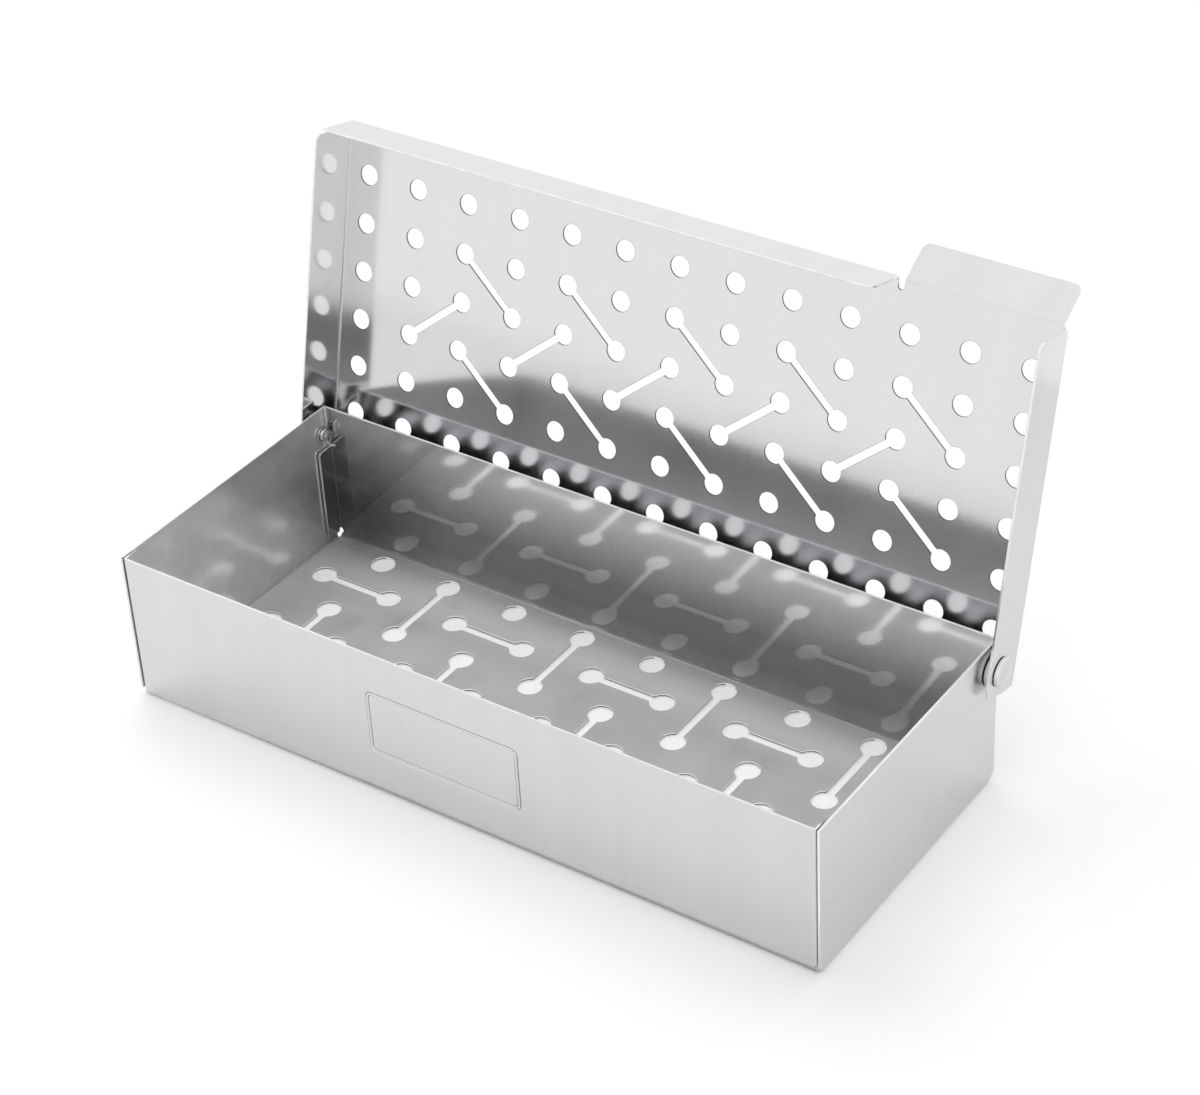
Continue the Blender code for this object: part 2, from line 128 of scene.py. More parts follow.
# Hinge
OPEN_ANGLE = math.radians(103.65)
PIVOT_FROM_REAR = 0.0048
PIVOT_BELOW_RIM = 0.0117
SHANK_RADIUS = 0.002
SHANK_CLEARANCE = 0.0001
HEAD_RADIUS = 0.0063
HEAD_THICKNESS = 0.0016
HEAD_ROUNDING = 0.0006
SPACER_RADIUS = 0.0074
SPACER_CHAMFER = 0.0004
WASHER_RADIUS = 0.0035
WASHER_THICKNESS = 0.0005
WASHER_CHAMFER = 0.0001
PEEN_RADIUS = 0.0027
PEEN_THICKNESS = 0.0011
PEEN_ROUNDING = 0.0005
RIVET_CHAMFER = 0.0001
HEAD_RINGS = (0.0015, 0.003, 0.0045)
PEEN_RINGS = (0.0018, 0.0014, 0.001, 0.0006, 0.0003)
# Two small marks in the head's middle
MARK_RINGS = (0.000225, 0.00045, 0.000675, 0.0009)
MARK_FROM_MIDDLE = 0.0006
MARK_WIDTH = 0.00025
MARK_DEPTH = 0.0002
MARK_REACH = 0.0012
# A cross pressed into the peened end
CROSS_SPREAD = 0.12
CROSS_DEPTH = 0.00045
CROSS_REACH = 0.002
CROSS_FADE_RADIUS = 0.0021
PEEN_MIDDLE_DEPTH = 0.0005

# Facets
HOLE_SIDES = 36
PIVOT_SIDES = 72
CORNER_SIDES = 8
ROUNDING_SIDES = 6
RING_ROUNDING_SIDES = 4
WELD_DISTANCE = 0.000001
END_TOUCH = 0.00001
# A face of the blank that points up or down at least this much is one of the sheet's faces, not a cut edge
UPRIGHT = 0.99
# Faces that meet at less than these angles are joined to one
BLANK_FLATNESS = math.radians(1)
SHEET_FLATNESS = math.radians(0.5)
HARDWARE_SHARP_ANGLE = math.radians(35)
NORMAL_WEIGHT = 100

# Camera, from the fit of the box's corners and holes in the photograph
CAMERA_PLACE = (0.58763, -0.76626, 0.76722)
CAMERA_RIGHT = (0.825325, 0.562732, -0.046591)
CAMERA_DOWN = (0.292021, -0.495994, -0.817749)
CAMERA_AHEAD = (-0.483282, 0.661304, -0.573686)
CAMERA_LENS = 90.687
CAMERA_SENSOR = 36
CAMERA_CLIP = (0.01, 50)

# Worked out from the sizes above
BEND_OUTER = BEND_RADIUS + SHEET
TAB_BEND_OUTER = TAB_BEND_RADIUS + SHEET
PIVOT_Y = BOX_DEPTH / 2 - PIVOT_FROM_REAR
PIVOT_Z = BOX_HEIGHT - PIVOT_BELOW_RIM
FLANGE_INNER_X = BOX_LENGTH / 2 + LID_SIDE_GAP
FLANGE_OUTER_X = FLANGE_INNER_X + SHEET
HALF_LENGTH = BOX_LENGTH / 2 - SHEET
HALF_DEPTH = BOX_DEPTH / 2 - SHEET
SQUARE = math.pi / 2

# Noise over the sheets: features in a metre along each direction of the blank, detail and roughness
FINE_GRAIN = ((9000.0, 60.0, 1.0), 2.0, 0.7)
COARSE_GRAIN = ((2200.0, 25.0, 1.0), 3.0, 0.6)
BROAD_TINT = ((60.0, 8.0, 1.0), 2.0)
CLOUDS = ((28.0, 22.0, 1.0), 4.0, 0.6)
ROLLING_WAVES = ((9.0, 7.0, 1.0), 0.0)
KNOCKS = ((70.0, 45.0, 1.0), 1.0)
# Detail and roughness of the noise on bare metal, and how much coarser its patches are than its grit
GRIT = (4.0, 0.6)
PATCHES_DETAIL = 2.0
PATCHES_COARSER = 8
NOISE_LOW = 0.3
NOISE_HIGH = 0.7

# Relief that is only shaded
GRIT_STRENGTH = 0.5
GRAIN_STRENGTH = 0.35
GRAIN_DEPTH = 0.0000025
WAVE_DEPTH = 0.00012
DENT_DEPTH = 0.0003
LID_BOW = -0.0021
LID_BOW_REACH = 0.08
WALL_LEAN = 0.0055
WALL_LEAN_START = 0.003

# Finish of the sheets
BLACK = (0, 0, 0, 1)
WHITE = (1, 1, 1, 1)
FINE_SHARE = 0.55
COARSE_SHARE = 0.45
GRAIN_TINT_SHARE = 0.6
BROAD_TINT_SHARE = 0.4
GRAIN_ANISOTROPY = 0.35
GRAIN_ROUGHNESS = 0.02
BEND_ROUGHNESS = 0.3
# How dark the painted shade in the frame's grooves is, as a share of black
GROOVE_SHADE = 0.75
# Painted shade on the torn half of hole edges: from and to which value of the mark, and from and to which share of
# black
TORN_SHADE = (0.35, 0.5, 0.0, 0.9)
# How far the clouds carry a place's milkiness from its mean
MILKY_LOW = 0.6
MILKY_HIGH = 1.4

# Metals: light and dark colour, and how rough they are where they are smoothest and roughest
TRAY_METAL = ((0.82, 0.82, 0.83, 1), (0.76, 0.76, 0.77, 1), 0.07, 0.11)
LID_METAL = ((0.79, 0.79, 0.80, 1), (0.73, 0.73, 0.74, 1), 0.11, 0.14)
CUT_EDGE_METAL = ((0.92, 0.92, 0.92, 1), (0.84, 0.84, 0.85, 1), 0.16, 0.26)
RIVET_METAL = ((0.84, 0.84, 0.85, 1), (0.74, 0.74, 0.75, 1), 0.16, 0.3)
SPACER_METAL = ((0.66, 0.66, 0.67, 1), (0.52, 0.52, 0.53, 1), 0.22, 0.38)


class FinishAndShade(NamedTuple):
    """A rectangle of the blank with a finish of its own, and a painted shade where its shade is below 1, which fade
    out over twice the softness.
    """

    middle: tuple
    half_size: tuple
    soft: float = 0.001
    rougher: float = 0.0
    shade: float = 1.0
    milky: float = 0.0


# More than half of any blank
WHOLE_WIDTH = 1.0

# Places of the tray with a finish of their own, some darkened by painted shade, of which later ones add to earlier
# ones
TRAY_OUTSIDE_PLACES = (
    # Floor and side walls
    FinishAndShade((0, 0), (WHOLE_WIDTH, HALF_DEPTH), rougher=0.16),
)
TRAY_INSIDE_PLACES = (
    # Floor and side walls
    FinishAndShade((0, 0), (WHOLE_WIDTH, HALF_DEPTH), rougher=0.1, milky=0.45),
    # Floor alone, and the part of it towards the front darkened by painted shade
    FinishAndShade((0, 0), (HALF_LENGTH, HALF_DEPTH), rougher=0.2, milky=0.2),
    FinishAndShade((0, -0.012), (HALF_LENGTH, 0.055), soft=0.012, shade=0.72),
    # Strip along the rear bend
    FinishAndShade((0, HALF_DEPTH), (HALF_LENGTH, 0.04), soft=0.03, milky=0.7),
    # Rear wall and its left end, darkened by painted shade that fades out towards the top of the wall
    FinishAndShade((0, HALF_DEPTH + 0.021), (HALF_LENGTH, 0.024), soft=0.016, rougher=-0.05, shade=0.33),
    FinishAndShade((-HALF_LENGTH, HALF_DEPTH + 0.034), (0.035, 0.04), soft=0.025, shade=0.45),
    # Front wall
    FinishAndShade((0, -HALF_DEPTH - BOX_HEIGHT / 2), (HALF_LENGTH, BOX_HEIGHT / 2), rougher=0.15, milky=0.3),
)

# Table
FLOOR_DROP = -0.0005
FLOOR_CORNERS = (
    (-0.7, -0.5),
    (0.0, -0.5),
    (0.7, -0.04),
    (0.7, 0.34),
    (0.16, 0.34),
    (0.08, 0.22),
    (-0.7, 0.22),
)
FLOOR_COLOUR = (0.85, 0.85, 0.85, 1)
# The camera sees it brighten away from the object: from and to which distance, and from and to which glow
FLOOR_GLOW = (0.28, 0.45, 0.25, 0.7)
MIRRORED_GLOW = 0.1
# Painted light: the table under the tray glows more to mirrored rays
MIRRORED_GLOW_UNDER_TRAY = 0.22
UNDER_TRAY_MARGIN = 0.003
UNDER_TRAY_SOFT = 0.002

# Soft light of the studio on pale surfaces, by direction: from and to where, and from and to which strength
SOFT_LIGHT_HEADING = (-0.2, 0.45, 0.87)
SOFT_LIGHT_WIDE = (0.35, 0.6, 0.1, 0.7)
SOFT_LIGHT_MIDDLE = (0.6, 0.88, 0.0, 0.34)
LOW_FRONT = (-0.2, 0.3, 0.76, 0.28)
LOW_BACK = (-0.1, 0.35, 0.06, 0.85)
FRONT_TO_BACK = (-0.3, 0.3, 0.0, 1.0)
HORIZON = (-0.04, 0.0, 0.0, 1.0)

# Lamps: place and power in watts
LAMPS = {"overhead": ((-0.6, 0.3, 1.3), 4.5), "fill": ((0.2, -0.6, 1.4), 4.0)}
LAMP_SIZE = 0.9
LAMP_TARGET = (0, 0, 0.05)

# Places of the materials in a sheet's list
SHEET_FACE = 0
CUT_FACE = 1
INSIDE_FACE = 2


# Flat shapes


def bend_length(angle, radius=BEND_RADIUS):
    """How much of the flat blank a bend takes up, along its middle surface."""
    return (radius + SHEET / 2) * angle


def flat_length(height, angle=SQUARE, radius=BEND_RADIUS):
    """How far beyond its bend line a point of a folded flap lies in the blank."""
    return bend_length(angle, radius) + height - radius - SHEET


def arc(centre, radius, start, end, sides):
    step = (end - start) / sides
    return [
        (centre[0] + radius * math.cos(start + step * i), centre[1] + radius * math.sin(start + step * i))
        for i in range(sides + 1)
    ]


def round_hole(centre, radius, sides):
    return arc(centre, radius, 0, 2 * math.pi, sides)[:-1]


def slotted_pair(first, second, radius, width):
    """The outline of two round holes joined by a straight slot."""
    heading = math.atan2(second[1] - first[1], second[0] - first[0])
    mouth = math.asin(width / 2 / radius)
    sides = HOLE_SIDES - 4
    far = arc(second, radius, heading - math.pi + mouth, heading + math.pi - mouth, sides)
    near = arc(first, radius, heading + mouth, heading + 2 * math.pi - mouth, sides)
    return far + near


def rounded_rectangle(centre, width, height, radius):
    points = []
    for quarter, (sx, sy) in enumerate(((1, 1), (-1, 1), (-1, -1), (1, -1))):
        corner = (centre[0] + sx * (width / 2 - radius), centre[1] + sy * (height / 2 - radius))
        points += arc(corner, radius, quarter * SQUARE, (quarter + 1) * SQUARE, FRAME_CORNER_SIDES)
    return points


def mirrored(points):
    return points + [(-x, y) for x, y in reversed(points)]


# Sheet work


def cut_blank(name, outline, holes):
    """A flat sheet with holes in it and its cut edges slightly rounded, with its middle surface at Z = 0."""
    curve = bpy.data.curves.new(name + "_blank", "CURVE")
    curve.dimensions = "2D"
    curve.fill_mode = "BOTH"
    curve.extrude = SHEET / 2 - EDGE_ROUND
    curve.bevel_depth = EDGE_ROUND
    curve.bevel_resolution = 1
    curve.offset = -EDGE_ROUND
    for points in [outline] + holes:
        spline = curve.splines.new("POLY")
        spline.points.add(len(points) - 1)
        for point, (x, y) in zip(spline.points, points):
            point.co = (x, y, 0, 1)
        spline.use_cyclic_u = True
    source = bpy.data.objects.new(name + "_blank", curve)
    bpy.context.scene.collection.objects.link(source)
    bpy.context.view_layer.update()
    evaluated = source.evaluated_get(bpy.context.evaluated_depsgraph_get())
    mesh = bpy.data.meshes.new_from_object(evaluated)
    bpy.data.objects.remove(source)
    bm = bmesh.new()
    bm.from_mesh(mesh)
    bpy.data.meshes.remove(mesh)
    bmesh.ops.remove_doubles(bm, verts=bm.verts, dist=WELD_DISTANCE)
    bmesh.ops.recalc_face_normals(bm, faces=bm.faces)
    bmesh.ops.dissolve_limit(bm, angle_limit=BLANK_FLATNESS, verts=bm.verts, edges=bm.edges)
    bm.normal_update()
    for face in bm.faces:
        face.material_index = SHEET_FACE if abs(face.normal.z) > UPRIGHT else CUT_FACE
    return bm


def emboss(bm, centre, width, height):
    """Fills a window in the blank with sheet that has a raised band with grooves round its edge.

    The band stands out of one face of the sheet and into the other. The grooves are marked for the painted shade
    that darkens them.
    """
    reach = EDGE_ROUND * 2
    inside = [
        face
        for face in bm.faces
        if face.material_index == CUT_FACE
        and abs(face.calc_center_median().x - centre[0]) < width / 2 + reach
        and abs(face.calc_center_median().y - centre[1]) < height / 2 + reach
    ]
    bmesh.ops.delete(bm, geom=inside, context="FACES")
    core_x = width / 2 - FRAME_CORNER
    core_y = height / 2 - FRAME_CORNER
    rims = [edge for edge in bm.edges if edge.is_boundary]
    painted_groove_shade = bm.verts.layers.float.new("painted_groove_shade")
    chains = {}
    for vert in {vert for edge in rims for vert in edge.verts}:
        x, y = vert.co.x - centre[0], vert.co.y - centre[1]
        near_x = max(-core_x, min(core_x, x))
        near_y = max(-core_y, min(core_y, y))
        out = Vector((x - near_x, y - near_y, 0))
        from_core = out.length
        chain = [vert]
        for inward, rise in FRAME_PROFILE:
            place = vert.co - out.normalized() * (inward + from_core - FRAME_CORNER) - Vector((0, 0, rise))
            chain.append(bm.verts.new(place))
            chain[-1][painted_groove_shade] = 1.0 if rise == FRAME_GROOVE else 0.0
        chains[vert] = chain
    for edge in rims:
        first, second = (chains[vert] for vert in edge.verts)
        for i in range(len(FRAME_PROFILE)):
            bm.faces.new((first[i], second[i], second[i + 1], first[i + 1]))
        bm.edges.get((first[-1], second[-1])) or bm.edges.new((first[-1], second[-1]))
    for side in (1, -1):
        last = [chain[-1] for vert, chain in chains.items() if vert.co.z * side > 0]
        last.sort(key=lambda v: math.atan2(v.co.y - centre[1], v.co.x - centre[0]))
        bm.faces.new(last)
    bmesh.ops.recalc_face_normals(bm, faces=bm.faces)


def crease(bm, edge, outward, angle, radius=BEND_RADIUS):
    """Scores the blank with the lines that one bend needs, from where it starts to where it ends."""
    for step in range(BEND_STEPS + 1):
        place = edge + outward * (bend_length(angle, radius) * step / BEND_STEPS)
        geometry = list(bm.verts) + list(bm.edges) + list(bm.faces)
        bmesh.ops.bisect_plane(bm, geom=geometry, dist=WELD_DISTANCE, plane_co=place, plane_no=outward)


def keep_flat_places(bm, half_width, front, rear):
    """Writes each point's place in the flat blank as its texture place, so the brushed grain follows the sheet.

    The outer half of the holes in the main panel, the half that a punch tears, is marked for a painted shade on its
    cut edge.
    """
    layer = bm.loops.layers.uv.new("blank")
    bm.verts.layers.float.new("bent")
    torn_half_shade = bm.verts.layers.float.new("torn_half_shade")
    for vert in bm.verts:
        in_panel = abs(vert.co.x) < half_width and front < vert.co.y < rear
        vert[torn_half_shade] = 1.0 if in_panel and vert.co.z < 0 else 0.0
    for face in bm.faces:
        for loop in face.loops:
            loop[layer].uv = (loop.vert.co.x, loop.vert.co.y + loop.vert.co.z)


def fold(bm, edge, outward, inward, angle, belongs, radius=BEND_RADIUS):
    """Bends up what lies beyond a bend line.

    edge is a point on the line, outward points along the sheet away from the part that stays,
    inward points to the side that the bend's centre is on, and belongs picks the flap's points.
    """
    middle = radius + SHEET / 2
    bent = bm.verts.layers.float["bent"]
    flap = [vert for vert in bm.verts if belongs(vert.co) and (vert.co - edge).dot(outward) > 0]
    for vert in flap:
        along = (vert.co - edge).dot(outward)
        depth = (vert.co - edge).dot(inward)
        turn = min(along / middle, angle)
        vert[bent] = max(vert[bent], math.sin(math.pi * turn / angle))
        straight = along - turn * middle
        new_along = (middle - depth) * math.sin(turn) + straight * math.cos(turn)
        new_depth = middle - (middle - depth) * math.cos(turn) + straight * math.sin(turn)
        vert.co += outward * (new_along - along) + inward * (new_depth - depth)


def dress(obj, body, node):
    """The piece stands for its CAD node and moves with its body."""
    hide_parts(node)
    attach(obj, body)
    return obj


def finish_sheet(name, bm, materials, place):
    """The folded sheet as an object, with flat faces shaded flat and bends and edges shaded round."""
    joined = {"angle_limit": SHEET_FLATNESS, "delimit": {"MATERIAL"}}
    bmesh.ops.dissolve_limit(bm, verts=bm.verts, edges=bm.edges, **joined)
    bmesh.ops.recalc_face_normals(bm, faces=bm.faces)
    mesh = bpy.data.meshes.new(name)
    bm.to_mesh(mesh)
    bm.free()
    mesh.transform(place)
    mesh.shade_smooth()
    obj = bpy.data.objects.new(name, mesh)
    for material in materials:
        mesh.materials.append(material)
    bpy.context.scene.collection.objects.link(obj)
    normals = obj.modifiers.new("flat_faces", "WEIGHTED_NORMAL")
    normals.mode = "FACE_AREA"
    normals.weight = NORMAL_WEIGHT
    normals.keep_sharp = True
    return obj


# Tray


def floor_holes():
    """A basket-weave pattern: slotted pairs along X and along Y in turn, with round holes round the border."""
    pitch_x = (BOX_LENGTH - 2 * FLOOR_END_MARGIN) / (FLOOR_COLUMNS - 1)
    pitch_y = (BOX_DEPTH - 2 * FLOOR_SIDE_MARGIN) / (FLOOR_ROWS - 1)

    def place(column, row):
        x = FLOOR_END_MARGIN - BOX_LENGTH / 2 + column * pitch_x
        y = BOX_DEPTH / 2 - FLOOR_SIDE_MARGIN - row * pitch_y
        return x, y

    holes = []

    def single(column, row):
        holes.append(round_hole(place(column, row), FLOOR_HOLE_RADIUS, HOLE_SIDES))

    def pair(column, row, to_column, to_row):
        start = place(column, row)
        end = place(to_column, to_row)
        holes.append(slotted_pair(start, end, FLOOR_HOLE_RADIUS, FLOOR_SLOT_WIDTH))

    last_row = FLOOR_ROWS - 1
    for column in range(1, FLOOR_COLUMNS, 4):
        single(column, 0)
        single(column, last_row)
        for row in range(2, last_row, 4):
            pair(column, row, column, row + 2)
    for column in range(3, FLOOR_COLUMNS, 4):
        for row in range(0, last_row, 4):
            pair(column, row, column, row + 2)
    for row in range(1, last_row, 2):
        first = 0 if row % 4 == 1 else 2
        if first:
            single(0, row)
        for column in range(first, FLOOR_COLUMNS, 4):
            if column + 2 < FLOOR_COLUMNS:
                pair(column, row, column + 2, row)
            else:
                single(column, row)
    return holes


def tab_bend_line():
    """Where the tabs' bends start, so that a tab's outer face lies inside the side wall."""
    return BOX_LENGTH / 2 - SHEET - TAB_GAP - TAB_BEND_OUTER


def rear_tab_top():
    """How far back the top of the rear tabs lies in the flat blank."""
    return BOX_DEPTH / 2 - BEND_OUTER + flat_length(PIVOT_Z - REAR_TAB_BELOW_PIVOT)


def tray_outline():
    """The blank of the tray, from the rear wall's right half round to the front wall's and back on the left."""
    floor_x = BOX_LENGTH / 2 - BEND_OUTER
    floor_y = BOX_DEPTH / 2 - BEND_OUTER
    tab_line = tab_bend_line()
    side_step = floor_x + flat_length(SIDE_WALL_STEP)
    side_top = floor_x + flat_length(BOX_HEIGHT)
    end_top = floor_y + flat_length(BOX_HEIGHT)

    def corner(sign, above_tab, tab_top, tab_length, tab_bottom, relief_radius):
        tab_end = tab_line + flat_length(tab_length, SQUARE, TAB_BEND_RADIUS)
        relief_y = floor_y + flat_length(tab_bottom)
        relief = arc((floor_x, relief_y), relief_radius, 0, 3 * SQUARE, 3 * CORNER_SIDES)
        points = above_tab + tab_top(tab_end) + [(tab_end, relief_y)] + relief
        points += [
            (floor_x, floor_y),
            (side_step, floor_y),
            (side_step, BOX_DEPTH / 2),
            (side_top, BOX_DEPTH / 2),
        ]
        return [(x, sign * y) for x, y in points]

    def full_height_tab(tab_end):
        return [(tab_end, end_top)]

    def short_tab(tab_end):
        return [(tab_end - REAR_TAB_CHAMFER, slot_low), (tab_end, slot_low - REAR_TAB_CHAMFER)]

    seam_x = BOX_LENGTH / 2 - SHEET - EDGE_SEAM
    slot_end = tab_line - RELIEF_SLOT_DEPTH
    slot_low = rear_tab_top()
    above_rear_tab = [
        (seam_x, end_top),
        (seam_x, slot_low + RELIEF_SLOT_WIDTH),
        (slot_end, slot_low + RELIEF_SLOT_WIDTH),
        (slot_end, slot_low),
    ]
    rear = corner(1, above_rear_tab, short_tab, REAR_TAB_LENGTH, REAR_TAB_BOTTOM, REAR_RELIEF_RADIUS)
    front = corner(-1, [], full_height_tab, FRONT_TAB_LENGTH, FRONT_TAB_BOTTOM, FRONT_RELIEF_RADIUS)
    return mirrored(rear + front[::-1])


def make_tray(materials):
    floor_x = BOX_LENGTH / 2 - BEND_OUTER
    floor_y = BOX_DEPTH / 2 - BEND_OUTER
    tab_line = tab_bend_line()
    side_wall_end = BOX_DEPTH / 2 + WELD_DISTANCE
    between_tab_and_wall = BOX_LENGTH / 2 - SHEET - TAB_GAP / 2
    up = Vector((0, 0, 1))
    pivot_x = floor_x + flat_length(PIVOT_Z)
    bore = SHANK_RADIUS + SHANK_CLEARANCE
    pivots = [round_hole((side * pivot_x, PIVOT_Y), bore, PIVOT_SIDES) for side in (-1, 1)]
    window = (FRAME_X, -floor_y - flat_length(FRAME_Z))
    frame_outline = rounded_rectangle(window, FRAME_WIDTH, FRAME_HEIGHT, FRAME_CORNER)
    bm = cut_blank("tray", tray_outline(), floor_holes() + pivots + [frame_outline])
    emboss(bm, window, FRAME_WIDTH, FRAME_HEIGHT)
    for side in (-1, 1):
        along_x = Vector((side, 0, 0))
        along_y = Vector((0, side, 0))
        crease(bm, along_x * tab_line, along_x, SQUARE, TAB_BEND_RADIUS)
        crease(bm, along_x * floor_x, along_x, SQUARE)
        crease(bm, along_y * floor_y, along_y, SQUARE)
    keep_flat_places(bm, floor_x - PUNCH_MARGIN, PUNCH_MARGIN - floor_y, floor_y - PUNCH_MARGIN)
    for face in bm.faces:
        if face.material_index == SHEET_FACE and face.normal.z > 0:
            face.material_index = INSIDE_FACE
    for side in (-1, 1):
        along_x = Vector((side, 0, 0))
        fold(bm, along_x * floor_x, along_x, up, SQUARE, lambda co: abs(co.y) < side_wall_end)

    def in_tab(co):
        return abs(co.y) > side_wall_end and co.y < rear_tab_top() + WELD_DISTANCE

    for side in (-1, 1):
        along_x = Vector((side, 0, 0))
        fold(bm, along_x * tab_line, along_x, up, SQUARE, in_tab, TAB_BEND_RADIUS)
    for side in (-1, 1):
        along_y = Vector((0, side, 0))
        fold(bm, along_y * floor_y, along_y, up, SQUARE, lambda co: abs(co.x) < between_tab_and_wall)
    tray = finish_sheet("tray_shell", bm, materials, Matrix.Translation((0, 0, SHEET / 2)))
    return dress(tray, "tray_body", "box_tray")


# Lid


def lid_front():
    """The front flange's inner face, ahead of the hinge axis with the lid shut."""
    return PIVOT_Y + BOX_DEPTH / 2 + LID_FRONT_GAP


def lid_rear():
    """The rear lip's inner face, behind the hinge axis with the lid shut."""
    return PIVOT_FROM_REAR + LID_REAR_GAP


def panel_height():
    """The lid panel's inner face above the hinge axis, with the lid shut."""
    return PIVOT_BELOW_RIM + LID_RIM_GAP


def rear_lip_height():
    """The lip's free edge meets the rear wall's outer face, less the fit gap, at the open angle."""
    lip_outer = lid_rear() + SHEET
    reach = PIVOT_FROM_REAR + FIT_GAP - lip_outer * math.cos(OPEN_ANGLE)
    return panel_height() + SHEET - reach / math.sin(OPEN_ANGLE)


def lid_holes():
    """A grid of round holes, with zigzags of slotted pairs across its middle rows."""
    pitch_x = (2 * FLANGE_INNER_X - 2 * LID_END_MARGIN) / (LID_COLUMNS - 1)
    pitch_y = (lid_front() + lid_rear() - 2 * LID_SIDE_MARGIN) / (LID_ROWS - 1)

    def place(column, row):
        x = LID_END_MARGIN - FLANGE_INNER_X + column * pitch_x
        y = LID_SIDE_MARGIN - lid_front() + row * pitch_y
        return x, y

    pairs = []
    for column in range(1, LID_COLUMNS - 2):
        if column % 2 == 0:
            pairs.append(((column, 1), (column + 1, 2)))
            pairs.append(((column, 3), (column + 1, 4)))
        else:
            pairs.append(((column, 3), (column + 1, 2)))
    joined = {cell for pair in pairs for cell in pair}
    holes = [slotted_pair(place(*a), place(*b), LID_HOLE_RADIUS, LID_SLOT_WIDTH) for a, b in pairs]
    for column in range(LID_COLUMNS):
        for row in range(LID_ROWS):
            if (column, row) not in joined:
                holes.append(round_hole(place(column, row), LID_HOLE_RADIUS, HOLE_SIDES))
    return holes


def side_flange_points(side):
    """One side flange of the lid's blank, from its rear end to its front end."""
    line = FLANGE_OUTER_X - BEND_OUTER
    edge = line + flat_length(SIDE_FLANGE_HEIGHT)
    rear = lid_rear() - BEND_RADIUS - FLANGE_SETBACK
    front = BEND_RADIUS + FLANGE_SETBACK - lid_front()
    rear_centre = (edge - FLANGE_REAR_RADIUS, rear - FLANGE_REAR_RADIUS)
    front_centre = (edge - FLANGE_FRONT_RADIUS, front + FLANGE_FRONT_RADIUS)
    points = [(line, rear)]
    points += arc(rear_centre, FLANGE_REAR_RADIUS, SQUARE, 0, 2 * CORNER_SIDES)
    points += arc(front_centre, FLANGE_FRONT_RADIUS, 0, -SQUARE, CORNER_SIDES)
    points += [(line, front)]
    return [(side * x, y) for x, y in points]


def front_edge_points():
    """The blank's front edge, from the right: the lift tab, its relief slot and the front flange."""
    line_x = FLANGE_OUTER_X - BEND_OUTER
    line_y = BEND_RADIUS - lid_front()
    tab_right = line_x - LIFT_TAB_INSET
    tab_left = tab_right - LIFT_TAB_WIDTH
    tab_end = line_y - bend_length(LIFT_TAB_ANGLE) - LIFT_TAB_LENGTH
    flange_right = tab_left - LIFT_SLOT_WIDTH
    flange_end = line_y - flat_length(FRONT_FLANGE_HEIGHT)
    slot_radius = LIFT_SLOT_WIDTH / 2
    slot_centre = (tab_left - slot_radius, line_y + LIFT_SLOT_DEPTH)
    right_corner = (tab_right - LIFT_TAB_CORNER, tab_end + LIFT_TAB_CORNER)
    left_corner = (tab_left + LIFT_TAB_CORNER, tab_end + LIFT_TAB_CORNER)
    points = [(line_x, line_y), (tab_right, line_y)]
    points += arc(right_corner, LIFT_TAB_CORNER, 0, -SQUARE, CORNER_SIDES)
    points += arc(left_corner, LIFT_TAB_CORNER, -SQUARE, -2 * SQUARE, CORNER_SIDES)
    points += arc(slot_centre, slot_radius, 0, 2 * SQUARE, 2 * CORNER_SIDES)
    points += [
        (flange_right, flange_end + FRONT_FLANGE_CORNER),
        (flange_right - FRONT_FLANGE_CORNER, flange_end),
        (-line_x, flange_end),
        (-line_x, line_y),
    ]
    return points


def lid_outline():
    """The blank of the lid, lying as it does when shut, with the hinge axis at Y = 0."""
    line_x = FLANGE_OUTER_X - BEND_OUTER
    lip_end = lid_rear() - BEND_RADIUS + flat_length(rear_lip_height())
    outline = side_flange_points(1)
    outline += front_edge_points()
    outline += side_flange_points(-1)[::-1]
    outline += [(-line_x, lip_end), (line_x, lip_end)]
    return outline


